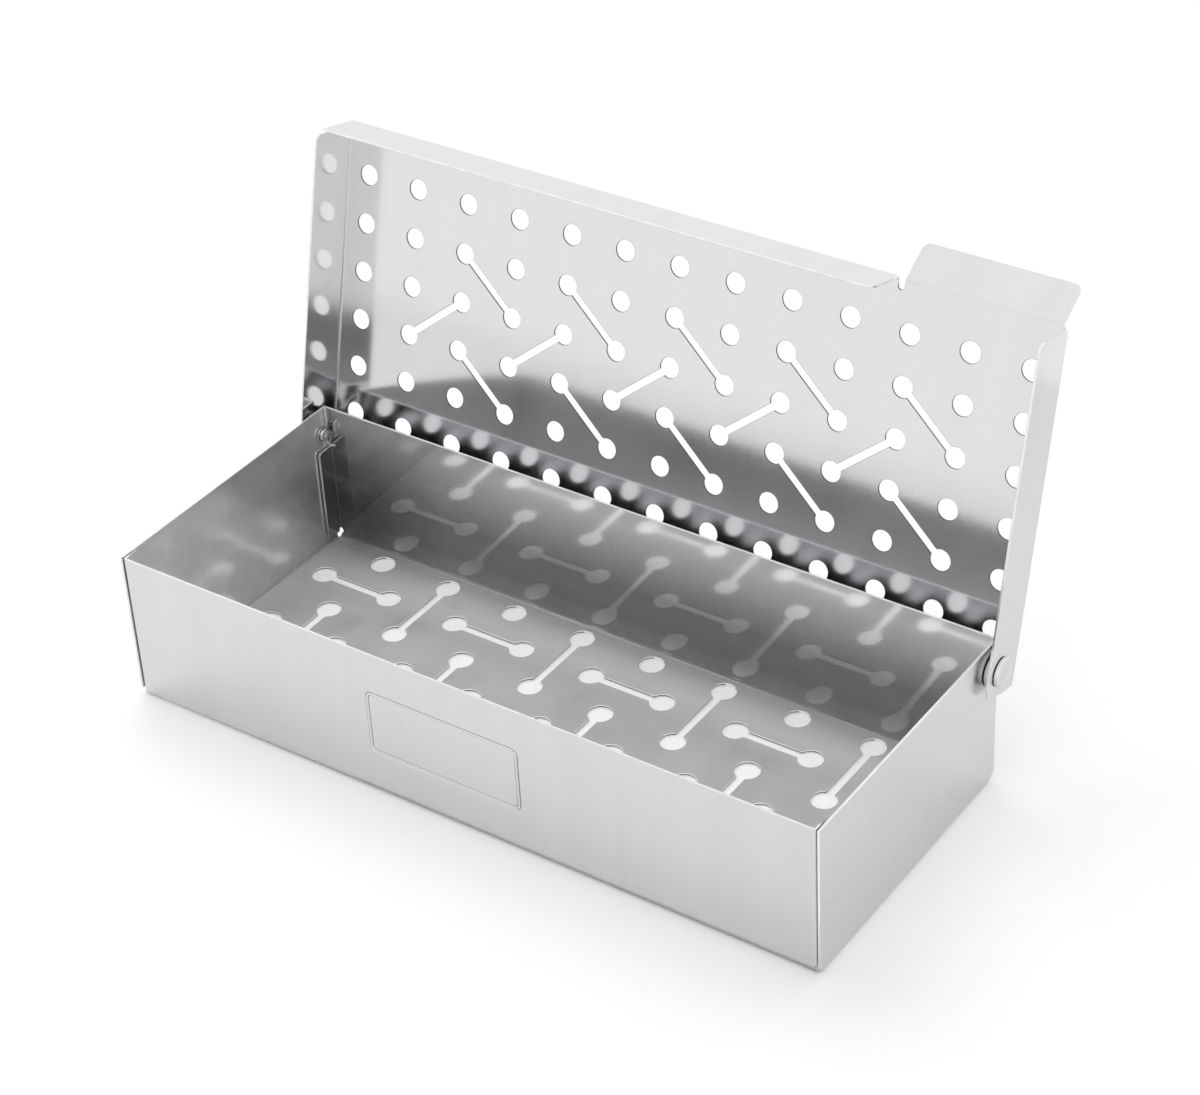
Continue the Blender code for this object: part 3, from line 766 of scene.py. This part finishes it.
def make_lid(materials):
    """The lid folded from its blank, hung on the hinge axis and turned open."""
    line_x = FLANGE_OUTER_X - BEND_OUTER
    line_y = BEND_RADIUS - lid_front()
    lip_line = lid_rear() - BEND_RADIUS
    tab_left = line_x - LIFT_TAB_INSET - LIFT_TAB_WIDTH
    slot_middle = tab_left - LIFT_SLOT_WIDTH / 2
    pivot_x = line_x + flat_length(panel_height() + SHEET)
    bore = SHANK_RADIUS + SHANK_CLEARANCE
    pivots = [round_hole((side * pivot_x, 0), bore, PIVOT_SIDES) for side in (-1, 1)]
    down = Vector((0, 0, -1))
    forward = Vector((0, -1, 0))
    backward = Vector((0, 1, 0))
    bm = cut_blank("lid", lid_outline(), lid_holes() + pivots)
    for side in (-1, 1):
        crease(bm, Vector((side * line_x, 0, 0)), Vector((side, 0, 0)), SQUARE)
    crease(bm, forward * -line_y, forward, SQUARE)
    crease(bm, forward * -line_y, forward, LIFT_TAB_ANGLE)
    crease(bm, backward * lip_line, backward, SQUARE)
    keep_flat_places(bm, line_x - PUNCH_MARGIN, line_y + PUNCH_MARGIN, lip_line - PUNCH_MARGIN)

    def in_panel_width(co):
        return abs(co.x) <= line_x + WELD_DISTANCE

    def in_front_flange(co):
        return in_panel_width(co) and co.x < slot_middle

    def in_lift_tab(co):
        return in_panel_width(co) and co.x > slot_middle

    fold(bm, forward * -line_y, forward, down, SQUARE, in_front_flange)
    fold(bm, forward * -line_y, forward, -down, LIFT_TAB_ANGLE, in_lift_tab)
    fold(bm, backward * lip_line, backward, down, SQUARE, in_panel_width)
    for side in (-1, 1):
        outward = Vector((side, 0, 0))
        fold(bm, outward * line_x, outward, down, SQUARE, lambda co: lip_line > co.y > line_y)
    hung = Matrix.Translation((0, PIVOT_Y, PIVOT_Z)) @ Matrix.Rotation(-OPEN_ANGLE, 4, "X")
    above_hinge = Matrix.Translation((0, 0, panel_height() + SHEET / 2))
    lid = finish_sheet("lid_shell", bm, materials, hung @ above_hinge)
    return dress(lid, "lid_body", "lid")


# Hinge hardware


def turned(name, profile, material, side, node, closed=False, shape=None):
    """A piece turned about the hinge axis, from (radius, distance from the box's middle) points."""
    bm = bmesh.new()
    rings = []
    for radius, height in profile:
        if radius == 0:
            rings.append([bm.verts.new((0, 0, height))] * PIVOT_SIDES)
            continue
        ring = []
        for i in range(PIVOT_SIDES):
            angle = 2 * math.pi * i / PIVOT_SIDES
            lift = shape(radius, height, angle) if shape else 0
            ring.append(bm.verts.new((radius * math.cos(angle), radius * math.sin(angle), height + lift)))
        rings.append(ring)
    pairs = list(zip(rings, rings[1:]))
    if closed:
        pairs.append((rings[-1], rings[0]))
    for upper, lower in pairs:
        for i in range(PIVOT_SIDES):
            j = (i + 1) % PIVOT_SIDES
            corners = [upper[i], upper[j], lower[j], lower[i]]
            unique = list(dict.fromkeys(corners))
            bm.faces.new(unique)
    layer = bm.loops.layers.uv.new("blank")
    for face in bm.faces:
        for loop in face.loops:
            loop[layer].uv = (loop.vert.co.x, loop.vert.co.y + loop.vert.co.z)
    bmesh.ops.recalc_face_normals(bm, faces=bm.faces)
    mesh = bpy.data.meshes.new(name)
    bm.to_mesh(mesh)
    bm.free()
    mesh.transform(Matrix.Translation((0, PIVOT_Y, PIVOT_Z)) @ Matrix.Rotation(side * SQUARE, 4, "Y"))
    mesh.shade_smooth()
    mesh.set_sharp_from_angle(angle=HARDWARE_SHARP_ANGLE)
    mesh.materials.append(material)
    obj = bpy.data.objects.new(name, mesh)
    bpy.context.scene.collection.objects.link(obj)
    return dress(obj, "tray_body", node)


def rounding(centre, radius, start, end, sides=ROUNDING_SIDES):
    return arc(centre, radius, start, end, sides)


def make_rivet(material, name, side):
    head_under = FLANGE_OUTER_X + FIT_GAP
    head_top = head_under + HEAD_THICKNESS
    wall_inner = BOX_LENGTH / 2 - SHEET
    peen_over = wall_inner - WASHER_THICKNESS - 2 * FIT_GAP
    peen_end = peen_over - PEEN_THICKNESS
    head_rounding = (HEAD_RADIUS - HEAD_ROUNDING, head_top - HEAD_ROUNDING)
    peen_rounding = (PEEN_RADIUS - PEEN_ROUNDING, peen_end + PEEN_ROUNDING)
    profile = [(0, head_top)]
    profile += [(radius, head_top) for radius in MARK_RINGS + HEAD_RINGS]
    profile += rounding(head_rounding, HEAD_ROUNDING, SQUARE, 0)
    profile += [(HEAD_RADIUS, head_under + RIVET_CHAMFER), (HEAD_RADIUS - RIVET_CHAMFER, head_under)]
    profile += [(SHANK_RADIUS, head_under), (SHANK_RADIUS, peen_over)]
    profile += [(PEEN_RADIUS - RIVET_CHAMFER, peen_over), (PEEN_RADIUS, peen_over - RIVET_CHAMFER)]
    profile += rounding(peen_rounding, PEEN_ROUNDING, 0, -SQUARE)
    profile += [(radius, peen_end) for radius in PEEN_RINGS]
    profile += [(0, peen_end + PEEN_MIDDLE_DEPTH)]

    def shape(radius, height, angle):
        """How far the head's marks and the peened end's cross move a point along the rivet."""
        if height > head_top - END_TOUCH and radius < MARK_REACH:
            across = radius * math.cos(angle)
            along = abs(radius * math.sin(angle)) - MARK_FROM_MIDDLE
            return -MARK_DEPTH * math.exp(-(across**2 + along**2) / MARK_WIDTH**2)
        if height < peen_end + END_TOUCH and radius < CROSS_REACH:
            deep = math.exp(-(math.sin(2 * angle) ** 2) / CROSS_SPREAD)
            return CROSS_DEPTH * deep * (1 - (radius / CROSS_FADE_RADIUS) ** 4)
        return 0

    return turned("rivet_" + name, profile, material, side, "hinge_rivet_" + name, shape=shape)


def ring_profile(inner, outer, low, high, chamfer):
    """A flat ring with its outer corners rounded, from its top down the outer side."""
    points = [(inner, high)]
    points += rounding((outer - chamfer, high - chamfer), chamfer, SQUARE, 0, RING_ROUNDING_SIDES)
    points += rounding((outer - chamfer, low + chamfer), chamfer, 0, -SQUARE, RING_ROUNDING_SIDES)
    points += [(inner, low)]
    return points


def make_spacer(material, name, side):
    bore = SHANK_RADIUS + SHANK_CLEARANCE
    low = BOX_LENGTH / 2 + FIT_GAP
    profile = ring_profile(bore, SPACER_RADIUS, low, FLANGE_INNER_X - FIT_GAP, SPACER_CHAMFER)
    return turned("spacer_" + name, profile, material, side, "hinge_spacer_" + name, closed=True)


def make_washer(material, name, side):
    bore = SHANK_RADIUS + SHANK_CLEARANCE
    high = BOX_LENGTH / 2 - SHEET - FIT_GAP
    profile = ring_profile(bore, WASHER_RADIUS, high - WASHER_THICKNESS, high, WASHER_CHAMFER)
    return turned("washer_" + name, profile, material, side, "rivet_washer_" + name, closed=True)


# Materials


def node(tree, kind, settings=None, **inputs):
    """A shader node with its settings, and its inputs set to numbers or linked to other nodes' outputs."""
    made = tree.nodes.new(kind)
    for key, value in (settings or {}).items():
        setattr(made, key, value)
    for key, value in inputs.items():
        link(tree, made, key.replace("_", " "), value)
    return made


def link(tree, target, socket, value):
    place = target.inputs[socket]
    if isinstance(value, bpy.types.NodeSocket):
        tree.links.new(value, place)
    else:
        place.default_value = value


def math_node(tree, operation, first, second=0.0):
    made = tree.nodes.new("ShaderNodeMath")
    made.operation = operation
    link(tree, made, 0, first)
    link(tree, made, 1, second)
    return made.outputs[0]


def weighted_sum(tree, first, first_share, second, second_share):
    first = math_node(tree, "MULTIPLY", first, first_share)
    return math_node(tree, "ADD", first, math_node(tree, "MULTIPLY", second, second_share))


def noise(tree, place, stretch, detail, roughness=0.5):
    """Noise over the sheet. stretch is how many features there are in a metre along each direction."""
    mapping = node(tree, "ShaderNodeMapping", Vector=place, Scale=stretch)
    made = node(
        tree,
        "ShaderNodeTexNoise",
        {"noise_dimensions": "3D"},
        Vector=mapping.outputs[0],
        Scale=1.0,
        Detail=detail,
        Roughness=roughness,
    )
    return made.outputs["Fac"]


def straight_ramp(tree, value, start, end, low, high):
    """low up to start, high from end on, and a straight line between."""
    limits = {"From_Min": start, "From_Max": end, "To_Min": low, "To_Max": high}
    return node(tree, "ShaderNodeMapRange", Value=value, **limits).outputs[0]


def ramp(tree, value, start, end, low, high):
    """low up to start, high from end on, and a soft curve between."""
    smooth = {"interpolation_type": "SMOOTHSTEP"}
    limits = {"From_Min": start, "From_Max": end, "To_Min": low, "To_Max": high}
    return node(tree, "ShaderNodeMapRange", smooth, Value=value, **limits).outputs[0]


def spread(tree, value, low, high):
    """Noise values, which lie round 0.5, carried over to a range."""
    return straight_ramp(tree, value, NOISE_LOW, NOISE_HIGH, low, high)


def bump(tree, height, depth, strength=1.0, below=None):
    """The surface's direction with a relief on it, on top of the relief that is there."""
    made = node(tree, "ShaderNodeBump", Strength=strength, Distance=depth, Height=height)
    if below:
        tree.links.new(below, made.inputs["Normal"])
    return made.outputs[0]


def attribute(tree, name):
    """A value that the mesh's points carry."""
    return node(tree, "ShaderNodeAttribute", {"attribute_name": name}).outputs["Fac"]


def mix_colour(tree, factor, first, second):
    made = tree.nodes.new("ShaderNodeMix")
    made.data_type = "RGBA"
    link(tree, made, 0, factor)
    link(tree, made, 6, first)
    link(tree, made, 7, second)
    return made.outputs[2]


def region(tree, place, middle, half_size, soft=0.001):
    """1 inside a rectangle of the blank and 0 outside it, with a slope between."""
    parts = node(tree, "ShaderNodeSeparateXYZ", Vector=place)
    inside = []
    for axis, centre, half in zip("XY", middle, half_size):
        far = math_node(tree, "ABSOLUTE", math_node(tree, "SUBTRACT", parts.outputs[axis], centre))
        inside.append(straight_ramp(tree, far, half - soft, half + soft, 1.0, 0.0))
    return math_node(tree, "MULTIPLY", *inside)


def brushed_sheet(name, metal, places=(), dents=0.0, bow=0.0, lean=0.0):
    """Brushed stainless sheet: fine grain across the blank's width, soft rolling waves, and places of other finish
    and of painted shade.

    dents is the depth of knocks in the end walls, bow how far the lid bulges towards its hinge, and lean how far
    the rear wall leans in. They are only shaded.
    """
    light, dark, smooth, rough = metal
    material = bpy.data.materials.new(name)
    material.use_nodes = True
    tree = material.node_tree
    shader = tree.nodes["Principled BSDF"]
    place = node(tree, "ShaderNodeUVMap", {"uv_map": "blank"}).outputs[0]
    parts = node(tree, "ShaderNodeSeparateXYZ", Vector=place)
    fine = noise(tree, place, *FINE_GRAIN)
    coarse = noise(tree, place, *COARSE_GRAIN)
    broad = noise(tree, place, *BROAD_TINT)
    clouds = noise(tree, place, *CLOUDS)
    grain = weighted_sum(tree, fine, FINE_SHARE, coarse, COARSE_SHARE)
    tint = weighted_sum(tree, grain, GRAIN_TINT_SHARE, broad, BROAD_TINT_SHARE)
    colour = mix_colour(tree, spread(tree, tint, 0.0, 1.0), dark, light)
    # Painted shade: the frame's grooves are darkened towards black
    colour = mix_colour(tree, math_node(tree, "MULTIPLY", attribute(tree, "painted_groove_shade"), GROOVE_SHADE), colour, BLACK)
    finish = spread(tree, coarse, -GRAIN_ROUGHNESS, GRAIN_ROUGHNESS)
    finish = math_node(tree, "ADD", spread(tree, clouds, smooth, rough), finish)
    stretched = math_node(tree, "MULTIPLY", attribute(tree, "bent"), BEND_ROUGHNESS)
    finish = math_node(tree, "ADD", finish, stretched)
    shader.inputs["Metallic"].default_value = 1
    metallic = None
    for kind in places:
        here = region(tree, place, kind.middle, kind.half_size, kind.soft)
        finish = math_node(tree, "ADD", finish, math_node(tree, "MULTIPLY", here, kind.rougher))
        # A place's shade darkens its colour towards black: painted shade
        if kind.shade < 1:
            colour = mix_colour(tree, math_node(tree, "MULTIPLY", here, 1 - kind.shade), colour, BLACK)
        if kind.milky:
            cloudy = spread(tree, clouds, kind.milky * MILKY_LOW, kind.milky * MILKY_HIGH)
            metallic = math_node(tree, "SUBTRACT", metallic or 1.0, math_node(tree, "MULTIPLY", here, cloudy))
    if metallic:
        tree.links.new(metallic, shader.inputs["Metallic"])
    tree.links.new(colour, shader.inputs["Base Color"])
    tree.links.new(finish, shader.inputs["Roughness"])
    shader.inputs["Anisotropic"].default_value = GRAIN_ANISOTROPY
    tangent = node(tree, "ShaderNodeTangent", {"direction_type": "UV_MAP", "uv_map": "blank"})
    tree.links.new(tangent.outputs[0], shader.inputs["Tangent"])
    surface = bump(tree, noise(tree, place, *ROLLING_WAVES), WAVE_DEPTH)
    if dents:
        middle_part = region(tree, place, (0, 0), (HALF_LENGTH, WHOLE_WIDTH))
        across = region(tree, place, (0, 0), (WHOLE_WIDTH, HALF_DEPTH))
        ends = math_node(tree, "MAXIMUM", math_node(tree, "SUBTRACT", across, middle_part), 0.0)
        knocks = math_node(tree, "MULTIPLY", noise(tree, place, *KNOCKS), ends)
        surface = bump(tree, knocks, dents, below=surface)
    if bow:
        near_hinge = straight_ramp(tree, parts.outputs["Y"], -LID_BOW_REACH, 0.0, 0.0, 1.0)
        surface = bump(tree, math_node(tree, "POWER", near_hinge, 2.0), bow, below=surface)
    if lean:
        foot = HALF_DEPTH - WALL_LEAN_START
        up_wall = straight_ramp(tree, parts.outputs["Y"], foot, HALF_DEPTH + BOX_HEIGHT, 0.0, 1.0)
        surface = bump(tree, math_node(tree, "POWER", up_wall, 0.5), lean, below=surface)
    surface = bump(tree, grain, GRAIN_DEPTH, GRAIN_STRENGTH, surface)
    tree.links.new(surface, shader.inputs["Normal"])
    return material


def plain_metal(name, metal, scale, depth):
    """Bare metal with a fine irregular surface, for cut edges and hardware."""
    light, dark, smooth, rough = metal
    material = bpy.data.materials.new(name)
    material.use_nodes = True
    tree = material.node_tree
    shader = tree.nodes["Principled BSDF"]
    place = node(tree, "ShaderNodeTexCoord").outputs["Object"]
    grit = noise(tree, place, (scale,) * 3, *GRIT)
    patches = noise(tree, place, (scale / PATCHES_COARSER,) * 3, PATCHES_DETAIL)
    colour = mix_colour(tree, spread(tree, patches, 0.0, 1.0), dark, light)
    # Painted shade: the torn half of the hole edges is darkened almost to black
    colour = mix_colour(tree, ramp(tree, attribute(tree, "torn_half_shade"), *TORN_SHADE), colour, BLACK)
    tree.links.new(colour, shader.inputs["Base Color"])
    tree.links.new(spread(tree, grit, smooth, rough), shader.inputs["Roughness"])
    shader.inputs["Metallic"].default_value = 1
    tree.links.new(bump(tree, grit, depth, GRIT_STRENGTH), shader.inputs["Normal"])
    return material


# Studio


def mirrored_or_clear(tree, rays):
    """1 for rays that metal mirrors or that glass lets through."""
    return math_node(tree, "MAXIMUM", rays.outputs["Is Glossy Ray"], rays.outputs["Is Transmission Ray"])


def make_floor():
    """A white table that keeps the object's shadow, and glows to the camera away from it. To mirrored rays it glows
    a little, and more under the tray as painted light.
    """
    bm = bmesh.new()
    bm.faces.new([bm.verts.new((x, y, FLOOR_DROP)) for x, y in FLOOR_CORNERS])
    mesh = bpy.data.meshes.new("floor")
    bm.to_mesh(mesh)
    bm.free()
    floor = bpy.data.objects.new("floor", mesh)
    bpy.context.scene.collection.objects.link(floor)
    material = bpy.data.materials.new("floor_white")
    material.use_nodes = True
    tree = material.node_tree
    tree.nodes.clear()
    diffuse = node(tree, "ShaderNodeBsdfDiffuse", Color=FLOOR_COLOUR)
    rays = node(tree, "ShaderNodeLightPath")
    place = node(tree, "ShaderNodeTexCoord").outputs["Object"]
    distance = tree.nodes.new("ShaderNodeVectorMath")
    distance.operation = "LENGTH"
    tree.links.new(place, distance.inputs[0])
    glow_there = ramp(tree, distance.outputs["Value"], *FLOOR_GLOW)
    seen = math_node(tree, "MULTIPLY", rays.outputs["Is Camera Ray"], glow_there)
    # Painted light under the tray, seen only by mirrored rays
    tray_half = (BOX_LENGTH / 2 - UNDER_TRAY_MARGIN, BOX_DEPTH / 2 - UNDER_TRAY_MARGIN)
    under_tray = region(tree, place, (0, 0), tray_half, UNDER_TRAY_SOFT)
    mirrored_glow = math_node(tree, "MULTIPLY", under_tray, MIRRORED_GLOW_UNDER_TRAY)
    mirrored_glow = math_node(tree, "ADD", mirrored_glow, MIRRORED_GLOW)
    mirrored_glow = math_node(tree, "MULTIPLY", mirrored_or_clear(tree, rays), mirrored_glow)
    seen = math_node(tree, "ADD", seen, mirrored_glow)
    glow = node(tree, "ShaderNodeEmission", Color=WHITE, Strength=seen)
    both = node(tree, "ShaderNodeAddShader")
    tree.links.new(diffuse.outputs[0], both.inputs[0])
    tree.links.new(glow.outputs[0], both.inputs[1])
    output = node(tree, "ShaderNodeOutputMaterial")
    tree.links.new(both.outputs[0], output.inputs["Surface"])
    mesh.materials.append(material)


def towards(tree, direction, heading):
    """How near a direction is to a heading: 1 along it, 0 square to it."""
    made = tree.nodes.new("ShaderNodeVectorMath")
    made.operation = "DOT_PRODUCT"
    tree.links.new(direction, made.inputs[0])
    made.inputs[1].default_value = Vector(heading).normalized()
    return made.outputs["Value"]


def blend(tree, share, value, other):
    """value where the share is 1, and the other where it is 0."""
    return weighted_sum(tree, value, share, other, math_node(tree, "SUBTRACT", 1.0, share))


def make_world():
    """White to the camera, to mirrored rays and through glass. Pale surfaces get soft light, most from above."""
    world = bpy.data.worlds.new("studio")
    bpy.context.scene.world = world
    world.use_nodes = True
    tree = world.node_tree
    tree.nodes.clear()
    direction = node(tree, "ShaderNodeTexCoord").outputs["Generated"]
    parts = node(tree, "ShaderNodeSeparateXYZ", Vector=direction)
    near_light = towards(tree, direction, SOFT_LIGHT_HEADING)
    wide = ramp(tree, near_light, *SOFT_LIGHT_WIDE)
    upper = math_node(tree, "ADD", wide, ramp(tree, near_light, *SOFT_LIGHT_MIDDLE))
    front = ramp(tree, parts.outputs["X"], *LOW_FRONT)
    back = ramp(tree, parts.outputs["X"], *LOW_BACK)
    lower = blend(tree, ramp(tree, parts.outputs["Y"], *FRONT_TO_BACK), back, front)
    level = blend(tree, ramp(tree, parts.outputs["Z"], *HORIZON), upper, lower)
    rays = node(tree, "ShaderNodeLightPath")
    shown = math_node(tree, "MAXIMUM", mirrored_or_clear(tree, rays), rays.outputs["Is Camera Ray"])
    level = math_node(tree, "MAXIMUM", level, shown)
    background = node(tree, "ShaderNodeBackground", Color=WHITE, Strength=level)
    output = node(tree, "ShaderNodeOutputWorld")
    tree.links.new(background.outputs[0], output.inputs["Surface"])


def add_lamp(name, place, power):
    lamp = bpy.data.lights.new(name, "AREA")
    lamp.shape = "RECTANGLE"
    lamp.size = lamp.size_y = LAMP_SIZE
    lamp.energy = power
    obj = bpy.data.objects.new(name, lamp)
    bpy.context.scene.collection.objects.link(obj)
    obj.location = place
    obj.rotation_euler = (Vector(LAMP_TARGET) - Vector(place)).to_track_quat("-Z", "Y").to_euler()
    obj.visible_glossy = False


def make_camera():
    data = bpy.data.cameras.new("photo_camera")
    data.sensor_width = CAMERA_SENSOR
    data.lens = CAMERA_LENS
    data.clip_start, data.clip_end = CAMERA_CLIP
    camera = bpy.data.objects.new("photo_camera", data)
    bpy.context.scene.collection.objects.link(camera)
    columns = [Vector(CAMERA_RIGHT), -Vector(CAMERA_DOWN), -Vector(CAMERA_AHEAD)]
    turned_by = Matrix(columns).transposed().to_4x4()
    camera.matrix_world = Matrix.Translation(CAMERA_PLACE) @ turned_by
    bpy.context.scene.camera = camera


def main():
    tray_sheet = brushed_sheet("tray_brushed", TRAY_METAL, TRAY_OUTSIDE_PLACES)
    tray_inside = brushed_sheet("tray_inside", TRAY_METAL, TRAY_INSIDE_PLACES, dents=DENT_DEPTH, lean=WALL_LEAN)
    lid_sheet = brushed_sheet("lid_brushed", LID_METAL, bow=LID_BOW)
    cut_edge = plain_metal("cut_edge", CUT_EDGE_METAL, scale=1500, depth=0.000002)
    rivet = plain_metal("rivet_metal", RIVET_METAL, scale=900, depth=0.000008)
    spacer = plain_metal("spacer_metal", SPACER_METAL, scale=900, depth=0.000012)
    make_tray([tray_sheet, cut_edge, tray_inside])
    make_lid([lid_sheet, cut_edge])
    for name, side in (("left", -1), ("right", 1)):
        make_rivet(rivet, name, side)
        make_spacer(spacer, name, side)
        make_washer(spacer, name, side)
    make_floor()
    make_world()
    for name, (place, power) in LAMPS.items():
        add_lamp(name, place, power)
    make_camera()
    bpy.context.scene.view_settings.view_transform = "Standard"


main()
